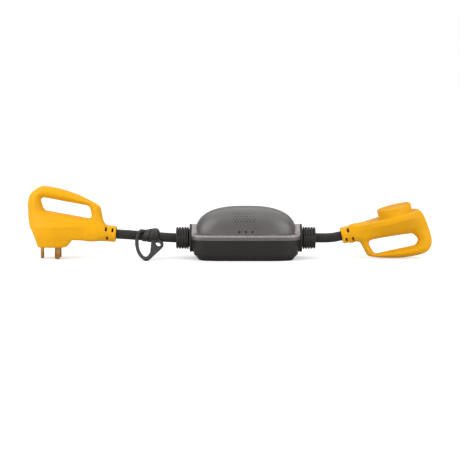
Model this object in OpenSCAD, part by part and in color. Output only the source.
/* [Housing] */
// Length of the housing across its parting lip
body_l = 200; // [198:1:204]
// Depth of the housing across its parting lip
body_d = 94; // [92:1:98]
// Height of the parting plane, which is also the cable axis
part_z = 38; // [37:1:39]
// Height of the cover's crest above the table
crest_z = 97; // [94:1:102]
// Height of the lip band round the cover's foot
lip_h = 9; // [8:1:10]
// Wall thickness of both shells
wall = 3; // [2.5:0.5:3]

/* [Glands and cables] */
// Outer diameter of both cables
cable_d = 17.5; // [17:0.5:18]
// Radial clearance round a cable in a bore
cable_gap = 0.35; // [0.3:0.05:0.5]
// Radius of the gland flange
flange_r = 26; // [25:0.5:27]
// Radius over the gland's ribs
rib_r = 20; // [19:0.5:21]
// Number of ribs on each gland
ribs = 4; // [3:1:5]
// Distance from the housing's centre to the outer end of each gland
gland_end = 128; // [126:1:130]

/* [Plug] */
// Length of the blades and the ground pin below the plug's face
pin_l = 22; // [20:0.5:22]
// Radius of the round ground pin
ground_r = 3.5; // [3.4:0.1:3.6]
// Width of each flat blade
blade_w = 12.5; // [12:0.1:12.6]
// Thickness of each flat blade
blade_t = 1.9; // [1.8:0.1:2]
// Sideways distance of each blade from the middle
blade_y = 10.5; // [10:0.1:11]
// Distance along the plug from the ground pin to the blades
blade_x = 28.5; // [27:0.5:28.5]
// Width of the finger handles
handle_w = 24; // [22:1:26]

/* [Connector] */
// Radius of the raised socket boss
boss_r = 31.5; // [31:0.5:32.5]
// Height of the boss's face above the cable axis
boss_top = 30; // [29:0.5:31]
// Tilt of the connector as it rests on its handle
tilt = 14; // [14:0.1:14.4]

/* [Hang strap] */
// Lean of the hanging loop towards the front
lean = 45; // [44:1:50]
// Thickness of the loop
strap_t = 6; // [5:0.5:7]

/* [Hidden] */
$fn = 48;

yellow = "#EDA80C";
grey = "#6F6A6A";
black = "#332F2D";
brass = "#B08040";
copper = "#B87333";

// Housing, worked out from the driving sizes
half_l = body_l / 2;
half_d = body_d / 2;
lip_top = part_z + lip_h;
dome_a = half_l - 7.5;      // half length of the dome where it meets the lip
dome_b = half_d - 2.5;      // half depth of the dome where it meets the lip
dome_power = 2.5;           // roundness of the dome's arch
plan_power = 5;             // squareness of the base and the lip seen from above
dome_plan_power = 3.2;      // squareness of the dome seen from above
plan_sides = 48;
lip_bevel = [2.6, 1.9, 2.6]; // bevel along the top of the lip: how far in along X, along Y, and down
rim_in = 1.5;               // how far the base stands in below the lip
// The base narrows to its flat foot in steps: how far in along X, along Y, and how high above the foot
skirt = [4.4, 3.2, 9.5];
knee = [9.4, 6, 5];
foot = [13.4, 9, 0];
gasket_t = 1;
rim_z = part_z - gasket_t;  // top of the base's rim

// Glands: along the cable axis, measured from the housing's centre
collar_r = flange_r - 0.5;
collar_in = half_l - 8.5;
flange_t = 3.3;
waist_r = 16.6;             // groove between the flange and the ribbed boot
waist_l = 1.9;
rib_groove = 1.8;
neck_r = 17;
ring_r = 19;
ring_x = 3.8;
fit = 0.3;
cable_r = cable_d / 2;
bore_r = cable_r + cable_gap;

// Cover screws, which rise from recesses in the underside through posts in both shells
screw_x = 66;
screw_y = 27;
screw_r = 1.9;
screw_top = 54.5;
head_r = 3.9;
head_z = 5;
recess_r = 4.2;
recess_h = 8;
post_r = 5;

// Cable clamps, which press each cable's end onto a block of the base
clamp_x = 80;
clamp_y = 15;
clamp_l = 10;
clamp_h = 13;
clamp_post_r = 4.2;

// Circuit board, on four posts
board_l = 116;
board_w = 62;
board_z = 20;
board_t = 1.6;
board_post_r = 3.5;
small_r = 1.5;              // shank of a board or clamp screw
pilot_r = 1.6;
floor_in = 2;               // height at which the posts grow out of the floor
board_top = board_z + board_t;
board_hole_x = 50;
board_hole_y = 26;
terminal_x = 51;
terminal_z = 31;
terminal_pitch = 14;
terminal_block = [12, 42, 16];
busbar_l = 89;
busbar_t = 2;

// Indicator lights
lens_z = 54;
lens_pitch = 12;
lens_face = dome_b + 0.5;

// Conductors: where the three of them leave a cable's end, round its axis, sideways and up
wire_r = 2.4;
strands = [[0, 4.8], [-4.3, -2.6], [4.3, -2.6]];

// Cables: routes of their centre lines, inner end first
plug_route = [
    [-72, 0, 38], [-90, 0, 38], [-110, 0, 38], [-128, 0, 38], [-142, 0, 38.6], [-160, 0, 39.8],
    [-180, 0, 41.2], [-200, 0, 42.6], [-220, 0, 44], [-238.4, 0, 45.2], [-251.4, 0, 46.1], [-264.4, 0, 47]
];
connector_route = [
    [72, 0, 38], [90, 0, 38], [110, 0, 38], [128, 0, 38], [140, 0, 37.9], [152, 0, 38.1],
    [163.2, 0, 39.2], [176.2, 0, 42], [189.2, 0, 45.2], [202.2, 0, 48.5]
];
cable_slope = 3.95;         // rise of the plug cable towards the plug, in degrees
strap_x = -178.3;
strap_z = 41.1;
plug_neck = [-238.4, 0, 45.2];
connector_at = [176.2, 0, 42];

// Plug: along X from the ground pin
ground_x = -375;
face_z = pin_l;
shank_r = ground_r - 0.5;   // the ground pin's thinner shank inside the plug
blades_x = ground_x + blade_x;
plug_x = -354.2;            // centre of the plug's round face

// Connector, in its own frame at the end of its neck
boss_x = 105.5;
insert_r = boss_r - 4;
insert_z = 14;
slot_room = 1;              // how much wider and thicker a socket's slot is than a blade
socket_ground_x = boss_x + 18;
socket_blades_x = socket_ground_x - blade_x;

// A closed superellipse outline
function loop(a, b, power) = [
    for (i = [0 : plan_sides - 1]) let (t = 360 * (i + 0.5) / plan_sides, c = cos(t), s = sin(t))
    [a * sign(c) * pow(abs(c), 2 / power), b * sign(s) * pow(abs(s), 2 / power)]
];

// One ring of a tube: a circle square to the direction d, round the point p
function unit(v) = v / norm(v);
function ring(p, d, r, sides) = let (u = unit(cross([0, 1, 0], d)), w = cross(unit(d), u))
    [for (k = [0 : sides - 1]) p + r * (cos(360 * k / sides) * u + sin(360 * k / sides) * w)];
function heading(route, i) = unit(route[min(i + 1, len(route) - 1)] - route[max(i - 1, 0)]);

// A tube along a route, as one polyhedron
module tube(route, r, sides = 12) {
    n = len(route);
    points = [for (i = [0 : n - 1]) each ring(route[i], heading(route, i), r, sides)];
    walls = [
        for (i = [0 : n - 2], k = [0 : sides - 1]) let (j = (k + 1) % sides)
        [i * sides + k, i * sides + j, (i + 1) * sides + j, (i + 1) * sides + k]
    ];
    polyhedron(points, concat([[for (k = [sides - 1 : -1 : 0]) k]], walls,
        [[for (k = [0 : sides - 1]) (n - 1) * sides + k]]));
}

// A flat slab with the housing's rounded outline
module slab(a, b, z, h = 0.1, power = plan_power) {
    translate([0, 0, z]) linear_extrude(h) polygon(loop(a, b, power));
}

// A cylinder lying along X from x0 to x1 on the cable axis
module along_x(x0, x1, r) {
    translate([x0, 0, part_z]) rotate([0, 90, 0]) cylinder(h = x1 - x0, r = r);
}

// Both ends, or all four corners
module both_ends() {
    children();
    mirror([1, 0, 0]) children();
}
module four_corners(x, y) {
    for (sx = [-1, 1], sy = [-1, 1]) translate([sx * x, sy * y, 0]) children();
}

// --- Housing -----------------------------------------------------------------

module base_step(step, inset, z, h = 0.1) {
    slab(half_l - step[0] - inset, half_d - step[1] - inset, z + step[2], h);
}

module base_solid(inset, floor_z) hull() {
    slab(half_l - rim_in - inset, half_d - rim_in - inset, rim_z - 0.1);
    for (step = [skirt, knee, foot]) base_step(step, inset, floor_z);
}

module gland_way() {
    both_ends() {
        along_x(collar_in - 2, half_l + 1, neck_r + fit);
        along_x(collar_in - ring_x - 0.7, collar_in, ring_r + fit);
    }
}

module base_shell() color(black) difference() {
    union() {
        difference() {
            union() {
                base_solid(0, 1);
                base_step(foot, 0, 0, 1.2);
            }
            base_solid(wall, wall);
            slab(half_l - rim_in - wall, half_d - rim_in - wall, rim_z - 0.5, 1);
        }
        both_ends() intersection() {
            along_x(collar_in, half_l, collar_r);
            translate([collar_in, -half_d, 0]) cube([20, body_d, rim_z]);
        }
        four_corners(screw_x, screw_y) translate([0, 0, 1]) cylinder(h = rim_z - 1, r = post_r);
        four_corners(board_hole_x, board_hole_y) post(board_z, board_post_r);
        four_corners(clamp_x, clamp_y) post(part_z, clamp_post_r);
        both_ends() translate([clamp_x - clamp_l / 2, -clamp_y, floor_in])
            cube([clamp_l, 2 * clamp_y, part_z - floor_in]);
    }
    gland_way();
    both_ends() along_x(60, collar_in, bore_r);
    four_corners(screw_x, screw_y) translate([0, 0, -1]) {
        cylinder(h = part_z + 2, r = screw_r + 0.4);
        cylinder(h = recess_h + 1, r = recess_r);
    }
    four_corners(board_hole_x, board_hole_y) translate([0, 0, 6]) cylinder(h = board_z, r = pilot_r);
    four_corners(clamp_x, clamp_y) translate([0, 0, 10]) cylinder(h = part_z, r = pilot_r);
}

// A post that grows out of the base's floor up to the height z
module post(z, r) translate([0, 0, floor_in]) cylinder(h = z - floor_in, r = r);

function dome_scale(t) = pow(max(1 - pow(sin(t), dome_power), 0.0001), 1 / dome_power);

module dome(inset) {
    rise = crest_z - lip_top - inset;
    hull() for (t = [0 : 9 : 90])
        slab((dome_a - inset) * dome_scale(t), (dome_b - inset) * dome_scale(t),
            lip_top + rise * sin(t) - 0.1, power = dome_plan_power);
}

module top_cover() color(grey) difference() {
    union() {
        difference() {
            union() {
                dome(0);
                hull() {
                    slab(half_l, half_d, part_z, lip_h - lip_bevel[2]);
                    slab(half_l - lip_bevel[0], half_d - lip_bevel[1], part_z, lip_h);
                }
            }
            dome(wall);
            slab(dome_a - wall, dome_b - wall, part_z - 1, lip_h + 1, dome_plan_power);
        }
        both_ends() intersection() {
            along_x(collar_in, half_l, collar_r);
            translate([collar_in, -half_d, part_z]) cube([20, body_d, 40]);
        }
        intersection() {
            dome(0);
            four_corners(screw_x, screw_y) translate([0, 0, part_z]) cylinder(h = 60, r = 4.5);
        }
        four_corners(screw_x, screw_y) translate([0, 0, part_z]) cylinder(h = lip_h, r = 4.5);
    }
    gland_way();
    four_corners(screw_x, screw_y) translate([0, 0, part_z - 1]) cylinder(h = 20, r = 2);
    lens_positions() cylinder(h = 20, r = 2.5);
}

module cover_gasket() color("#202020") difference() {
    slab(half_l - 2, half_d - 2, rim_z, gasket_t);
    slab(half_l - 4, half_d - 4, rim_z - 1, gasket_t + 2);
    both_ends() translate([collar_in - 6, -flange_r, 0]) cube([30, 2 * flange_r, crest_z]);
}

module cover_screws() color("silver") four_corners(screw_x, screw_y) {
    translate([0, 0, head_z]) cylinder(h = recess_h - head_z, r = head_r);
    translate([0, 0, recess_h - 0.5]) cylinder(h = screw_top - recess_h + 0.5, r = screw_r);
}

// A ribbed strain relief: flange outside the wall, retaining ring inside it
module gland() color(black) translate([0, 0, part_z]) rotate([0, 90, 0]) rotate_extrude() {
    boot_x = half_l + flange_t + waist_l;
    pitch = (gland_end - boot_x) / ribs;
    difference() {
        union() {
            translate([0, collar_in - ring_x - 0.4]) square([ring_r, ring_x]);
            translate([0, collar_in - 1]) square([neck_r, half_l - collar_in + 2]);
            translate([0, half_l]) square([flange_r, flange_t]);
            translate([0, half_l]) square([waist_r, boot_x - half_l + 1]);
            translate([0, boot_x]) square([rib_r - rib_groove, gland_end - boot_x]);
            for (i = [0 : ribs - 1])
                translate([0, boot_x + (i + 0.35) * pitch]) square([rib_r, pitch * 0.65]);
        }
        translate([0, 50]) square([bore_r, 100]);
    }
}
module plug_gland() mirror([1, 0, 0]) gland();
module connector_gland() gland();

module clamp() color("#404040") difference() {
    translate([clamp_x - clamp_l / 2, -clamp_y - 4, part_z]) cube([clamp_l, 2 * clamp_y + 8, clamp_h]);
    along_x(60, 100, bore_r);
    for (s = [-1, 1]) translate([clamp_x, s * clamp_y, 0]) cylinder(h = 100, r = 2);
}
module plug_cable_clamp() mirror([1, 0, 0]) clamp();
module connector_cable_clamp() clamp();

module clamp_screws() color("silver") four_corners(clamp_x, clamp_y) {
    translate([0, 0, part_z + clamp_h]) cylinder(h = 2.5, r = 3.5);
    translate([0, 0, part_z - 12]) cylinder(h = clamp_h + 13, r = small_r);
}

// --- Electronics ---------------------------------------------------------------

module circuit_board() color("#1E6B3A") difference() {
    translate([-board_l / 2, -board_w / 2, board_z]) cube([board_l, board_w, board_t]);
    four_corners(board_hole_x, board_hole_y) cylinder(h = 50, r = small_r + 0.3);
}

module board_screws() color("silver") four_corners(board_hole_x, board_hole_y) {
    translate([0, 0, board_top]) cylinder(h = 2, r = 3);
    translate([0, 0, board_z - 10]) cylinder(h = 12, r = small_r);
}

module terminals() color("#3A6FB0") difference() {
    translate([terminal_x - terminal_block[0] / 2, -terminal_block[1] / 2, board_top]) cube(terminal_block);
    for (k = [-1 : 1]) {
        along_at(terminal_x - 1, terminal_x + 7, k * terminal_pitch, terminal_z, 3);
        translate([terminal_x + 1, k * terminal_pitch, terminal_z + 2]) cylinder(h = 10, r = 2.2);
    }
}
module along_at(x0, x1, y, z, r) translate([x0, y, z]) rotate([0, 90, 0]) cylinder(h = x1 - x0, r = r);
module input_terminals() mirror([1, 0, 0]) terminals();
module output_terminals() terminals();

module busbar(k, width) color(copper)
    translate([-busbar_l / 2, k * terminal_pitch - width / 2, board_top + 1])
        cube([busbar_l, width, busbar_t]);
module busbar_hot() busbar(-1, 6);
module busbar_neutral() busbar(1, 6);
module busbar_ground() busbar(0, 4);

// A surge varistor: a coated disc standing on its two leads
module varistor(x) color("#2B5FA8") translate([x, 0, board_top + 16]) {
    rotate([0, 90, 0]) cylinder(h = 5, r = 10);
    for (s = [-1, 1]) translate([2.5, s * 3.5, -16]) cylinder(h = 8, r = 0.5);
}
module varistor_hot_neutral() varistor(-36);
module varistor_hot_ground() varistor(-26);
module varistor_neutral_ground() varistor(-16);

module thermal_fuses() color("#C0C0C0") for (k = [0 : 1])
    along_at(-38, -20, -25 + k * 50, board_top + 4, 2.5);

module line_relay() color("#E0E0DC") translate([-5, -24, board_top + 4]) cube([28, 20, 26]);

module filter_capacitors() color("#3C3C60") for (k = [0 : 1])
    translate([2 + 13 * k, 24, board_top]) cylinder(h = 22, r = 5.5);

module choke_coil() color("#B8860B") translate([34, 0, board_top + 10]) rotate_extrude()
    translate([6, 0]) circle(r = 4);

// --- Indicator lights ------------------------------------------------------------

module lens_positions() for (k = [-1 : 1])
    translate([k * lens_pitch, -lens_face, lens_z]) rotate([-90, 0, 0]) children();

module indicator_lenses() color("#D8E0E0") lens_positions() {
    cylinder(h = 8, r = 2.2);
    translate([0, 0, 4]) cylinder(h = 1.5, r = 3.2);
}
module indicator_leds() color("#C83020") lens_positions() translate([0, 0, 8.2]) {
    cylinder(h = 3, r = 1.5);
    translate([0, 0, 3]) cylinder(h = 2, r = 1.9);
}
module indicator_board() color("#1E6B3A") translate([-20, -lens_face + 13.3, board_top + 2])
    cube([40, 1.6, 36]);

// --- Conductors --------------------------------------------------------------------

module housing_wire(k, colour) color(colour) {
    lane = (k == 0 ? 0 : (k == 1 ? -1 : 1)) * terminal_pitch;
    tube([
        [71.9, strands[k][0], part_z + strands[k][1]], [69, strands[k][0], part_z + strands[k][1]],
        [64, (strands[k][0] + lane) / 2, (part_z + strands[k][1] + terminal_z) / 2],
        [59, lane, terminal_z], [terminal_x, lane, terminal_z]
    ], wire_r, 8);
}
module input_wire_ground() mirror([1, 0, 0]) housing_wire(0, "green");
module input_wire_hot() mirror([1, 0, 0]) housing_wire(1, "#202020");
module input_wire_neutral() mirror([1, 0, 0]) housing_wire(2, "white");
module output_wire_ground() housing_wire(0, "green");
module output_wire_hot() housing_wire(1, "#202020");
module output_wire_neutral() housing_wire(2, "white");

module plug_cable() color(black) tube(plug_route, cable_r);
module connector_cable() color(black) tube(connector_route, cable_r);

// --- Hang strap -----------------------------------------------------------------------

module at_strap()
    translate([strap_x, 0, strap_z]) rotate([0, cable_slope, 0]) rotate([-lean, 0, 0]) children();

module hang_strap() color(black) at_strap() difference() {
    union() {
        translate([-16, 0, 0]) rotate([0, 90, 0]) cylinder(h = 36, r = cable_r + 4);
        translate([2, 0, 0]) rotate([0, 90, 0]) cylinder(h = 17, r = cable_r + 8);
        rotate([90, 0, 0]) linear_extrude(strap_t, center = true) difference() {
            offset(r = 5) offset(delta = -5) polygon([
                [-21, 6], [-24, -14], [-20, -34], [-12, -50], [-1, -57],
                [9, -49], [19, -35], [29, -19], [20, 6]
            ]);
            offset(r = 2.5) offset(delta = -2.5) polygon([
                [-18, -13], [-15, -31], [-8, -45], [-1, -50], [4, -45], [5.5, -34], [5.5, -13]
            ]);
            offset(r = 1.5) offset(delta = -1.5) polygon([[14, -14], [22, -20], [16, -27], [13, -22]]);
        }
    }
    translate([-40, 0, 0]) rotate([0, 90, 0]) cylinder(h = 80, r = bore_r);
}

// --- Plug --------------------------------------------------------------------------------

// An upright plate with a stepped edge
module plate(width, bevel) rotate([90, 0, 0]) {
    linear_extrude(width - 2 * bevel, center = true) children();
    linear_extrude(width, center = true) offset(delta = -bevel) children();
}

// A pair of slots in the upper (up = 1) or lower (up = -1) half of a neck, which let it flex with the cable
module flex_slots(x, up) translate([x, 0, 0]) difference() {
    rotate([0, 90, 0]) cylinder(h = 4, r = 20, center = true);
    rotate([0, 90, 0]) cylinder(h = 5, r = 12, center = true);
    translate([0, 0, up * -10]) cube([6, 50, 26], center = true);
    cube([6, 6, 50], center = true);
}

module plug_handle() difference() {
    offset(r = 8) offset(delta = -8) polygon([
        [-397, 120], [-375.5, 135], [-359.5, 134.5], [-333, 128.8], [-306, 119], [-285, 108.5], [-265.5, 97],
        [-262, 72], [-258, 58], [-298, 40], [-384.5, 40], [-397, 59], [-402, 89]
    ]);
    offset(r = 5) offset(delta = -5) polygon([[-374.5, 112], [-286, 95.5], [-283, 74.3], [-369.5, 91.2]]);
}

module at_plug_neck() translate(plug_neck) rotate([0, cable_slope, 0]) children();

module plug_body() color(yellow) difference() {
    union() {
        plate(handle_w, 4) plug_handle();
        // Head, from the flat face up to the crease
        translate([plug_x, 0, face_z]) cylinder(h = 3, r = 25);
        hull() {
            translate([plug_x, 0, face_z + 2]) cylinder(h = 1, r = 26, $fn = 32);
            translate([-356.2, 0, 40]) cylinder(h = 1, r = 29, $fn = 32);
            translate([-361.3, 0, 57.4]) cylinder(h = 1, r = 28, $fn = 32);
        }
        // Shoulder, from the crease up to the foot of the finger opening
        hull() {
            translate([-365.5, 0, 56]) cylinder(h = 4, r = 28, $fn = 32);
            translate([-273.8, 0, 48]) cylinder(h = 12, r = 15, $fn = 32);
            translate([-384, -9, 84]) cube([14, 18, 2]);
            translate([-290, -9, 68]) cube([14, 18, 2]);
        }
        // Neck, from the head to the cable
        hull() {
            translate([-349.2, 0, 40]) cylinder(h = 17, r = 24, $fn = 32);
            at_plug_neck() translate([-32, 0, 0]) rotate([0, 90, 0]) cylinder(h = 2, r = 15.5, $fn = 32);
        }
        at_plug_neck() translate([-40, 0, 0]) rotate([0, 90, 0]) cylinder(h = 40, r = 15);
    }
    at_plug_neck() {
        translate([-26.8, 0, 0]) rotate([0, 90, 0]) cylinder(h = 40, r = bore_r);
        translate([-101, 0, 0]) rotate([0, 90, 0]) cylinder(h = 75, r = 10.5);
        for (x = [-18.5, -6.5]) flex_slots(x, 1);
        flex_slots(-15.5, -1);
    }
    core_space(0, face_z + 2, 28);
    blades_at() cube([blade_w + 0.2, blade_t + 0.2, 60], center = true);
    translate([ground_x, 0, 0]) {
        cylinder(h = 40, r = shank_r + 0.1);
        cylinder(h = face_z + 0.4, r = ground_r + 0.1);
    }
}

// The space round the pins' inner ends: round, with a bay for the ground pin
module core_space(gap, z, h) translate([plug_x, 0, z]) {
    cylinder(h = h, r = 21 - gap);
    translate([ground_x - plug_x - 4 + gap, gap - 6, 0]) cube([20, 12 - 2 * gap, h]);
}

module blades_at() for (s = [-1, 1])
    translate([blades_x, s * blade_y, face_z]) rotate([0, 0, s * 45]) children();

module plug_core() color("#B89868") difference() {
    core_space(0.2, face_z + 2.1, 12);
    blades_at() cube([blade_w + 0.2, blade_t + 0.2, 60], center = true);
    translate([ground_x, 0, 0]) cylinder(h = 50, r = shank_r + 0.1);
}

// A flat blade with chamfered tip; side is -1 or 1
module blade(side) color(brass) translate([blades_x, side * blade_y, 0]) rotate([0, 0, side * 45])
    rotate([90, 0, 0]) linear_extrude(blade_t, center = true) polygon([
        [-blade_w / 2, 2], [-blade_w / 2 + 2, 0], [blade_w / 2 - 2, 0], [blade_w / 2, 2],
        [blade_w / 2, 40], [-blade_w / 2, 40]
    ]);
module plug_blade_hot() blade(-1);
module plug_blade_neutral() blade(1);

module plug_ground_pin() color(brass) translate([ground_x, 0, 0]) {
    translate([0, 0, ground_r]) sphere(r = ground_r);
    translate([0, 0, ground_r]) cylinder(h = face_z - ground_r, r = ground_r);
    translate([0, 0, face_z - 1]) cylinder(h = 21, r = shank_r);
}

module plug_wire_ground() color("green") tube([
    [-265.6, 0, 51.1], [-278, 0, 51.9], [-309, 0, 51], [-339, 0, 49.2], [-361, 0, 48.8], [-374.5, 0, 48.5]
], wire_r, 8);
module plug_blade_wire(side, colour) color(colour) tube([
    [-265.6, side * 4.3, 44.6], [-278, side * 4.3, 45.4], [-309, side * 4.3, 46.5], [-329, side * 4.5, 48.2],
    [-336, side * 5.5, 47.8], [-342, side * 8.5, 46], [-345, side * 10.5, 44]
], wire_r, 8);
module plug_wire_hot() plug_blade_wire(-1, "#202020");
module plug_wire_neutral() plug_blade_wire(1, "white");

// --- Connector -------------------------------------------------------------------------------

module at_connector() translate(connector_at) rotate([0, -tilt, 0]) children();

module connector_handle() difference() {
    offset(r = 8) offset(delta = -8) polygon([
        [24.5, -8], [35.7, -45], [42.9, -51.2], [66.4, -59.2], [86.8, -64.4], [107.2, -68.4], [133.8, -69.9],
        [154.2, -65.4], [160.8, -52], [160.8, -28], [156.7, -6], [150, 14], [70, 14], [24, 8]
    ]);
    offset(r = 5) offset(delta = -5) polygon([
        [47, -26], [53, -21.4], [128, -28], [133.6, -41], [125, -48.6], [53, -46.3]
    ]);
}

module connector_body() color(yellow) at_connector() difference() {
    union() {
        plate(handle_w, 4) connector_handle();
        rotate([0, 90, 0]) cylinder(h = 32, r = 15.5);
        hull() {
            translate([26, 0, 0.5]) rotate([0, 90, 0]) cylinder(h = 1, r = 16.5, $fn = 32);
            translate([boss_x + 2, 0, -14]) cylinder(h = 30, r = boss_r + 1.5, $fn = 32);
            translate([149, -12, -14]) cube([6, 24, 24]);
        }
        translate([boss_x, 0, 10]) cylinder(h = boss_top - 10, r = boss_r);
    }
    translate([-1, 0, 0]) rotate([0, 90, 0]) cylinder(h = 28.6, r = bore_r);
    translate([27, 0, 0]) rotate([0, 90, 0]) cylinder(h = 63, r = 9);
    translate([boss_x, 0, insert_z]) cylinder(h = 30, r = insert_r);
    translate([boss_x, 0, -9]) cylinder(h = 30, r = insert_r - 2);
    flex_slots(13.2, 1);
    for (x = [7, 19]) flex_slots(x, -1);
}

module sockets_at() for (s = [-1, 1])
    translate([socket_blades_x, s * blade_y, boss_top]) rotate([0, 0, s * 45]) children();

module connector_face() color(yellow) at_connector() difference() {
    translate([boss_x, 0, insert_z]) cylinder(h = boss_top - insert_z - 1, r = insert_r - 0.2);
    sockets_at() cube([blade_w + slot_room, blade_t + slot_room, 60], center = true);
    translate([socket_ground_x, 0, 0]) cylinder(h = 60, r = ground_r + 0.4);
}

// A pair of spring leaves, joined at the bottom, that grip one blade
module leaves(side, colour) color(colour) at_connector()
    translate([socket_blades_x, side * blade_y, 0]) rotate([0, 0, side * 45]) difference() {
        translate([-blade_w / 2, -2.6, -7]) cube([blade_w, 5.2, insert_z + 6.9]);
        translate([-blade_w, -blade_t / 2 - 0.3, -5.5]) cube([2 * blade_w, blade_t + 0.6, 60]);
    }
module contact_hot() leaves(-1, brass);
module contact_neutral() leaves(1, brass);
module contact_ground() color(brass) at_connector() translate([socket_ground_x, 0, -7]) difference() {
    cylinder(h = insert_z + 6.9, r = 5.4);
    translate([0, 0, 1.5]) cylinder(h = 60, r = ground_r + 0.2);
}

module connector_wire_ground() color("green") at_connector() tube([
    [28.5, 0, 4.8], [40, 0, 4.8], [80, 0, 4.5], [90, 0, 4], [105.5, 0, 1], [115.5, 0, 0]
], wire_r, 8);
module socket_wire(side, colour) color(colour) at_connector() tube([
    [28.5, side * 4.3, -2.6], [40, side * 4.3, -2.6], [70, side * 4.4, -2.6], [78, side * 5, -2.6],
    [84, side * 7, -2.6], [87.7, side * 9, -2.6]
], wire_r, 8);
module connector_wire_hot() socket_wire(-1, "#202020");
module connector_wire_neutral() socket_wire(1, "white");

base_shell();
top_cover();
cover_gasket();
cover_screws();
plug_gland();
connector_gland();
plug_cable_clamp();
connector_cable_clamp();
clamp_screws();
circuit_board();
board_screws();
input_terminals();
output_terminals();
busbar_hot();
busbar_neutral();
busbar_ground();
varistor_hot_neutral();
varistor_hot_ground();
varistor_neutral_ground();
thermal_fuses();
line_relay();
filter_capacitors();
choke_coil();
indicator_board();
indicator_leds();
indicator_lenses();
input_wire_hot();
input_wire_neutral();
input_wire_ground();
output_wire_hot();
output_wire_neutral();
output_wire_ground();
plug_cable();
hang_strap();
plug_body();
plug_core();
plug_blade_hot();
plug_blade_neutral();
plug_ground_pin();
plug_wire_hot();
plug_wire_neutral();
plug_wire_ground();
connector_cable();
connector_body();
connector_face();
contact_hot();
contact_neutral();
contact_ground();
connector_wire_hot();
connector_wire_neutral();
connector_wire_ground();
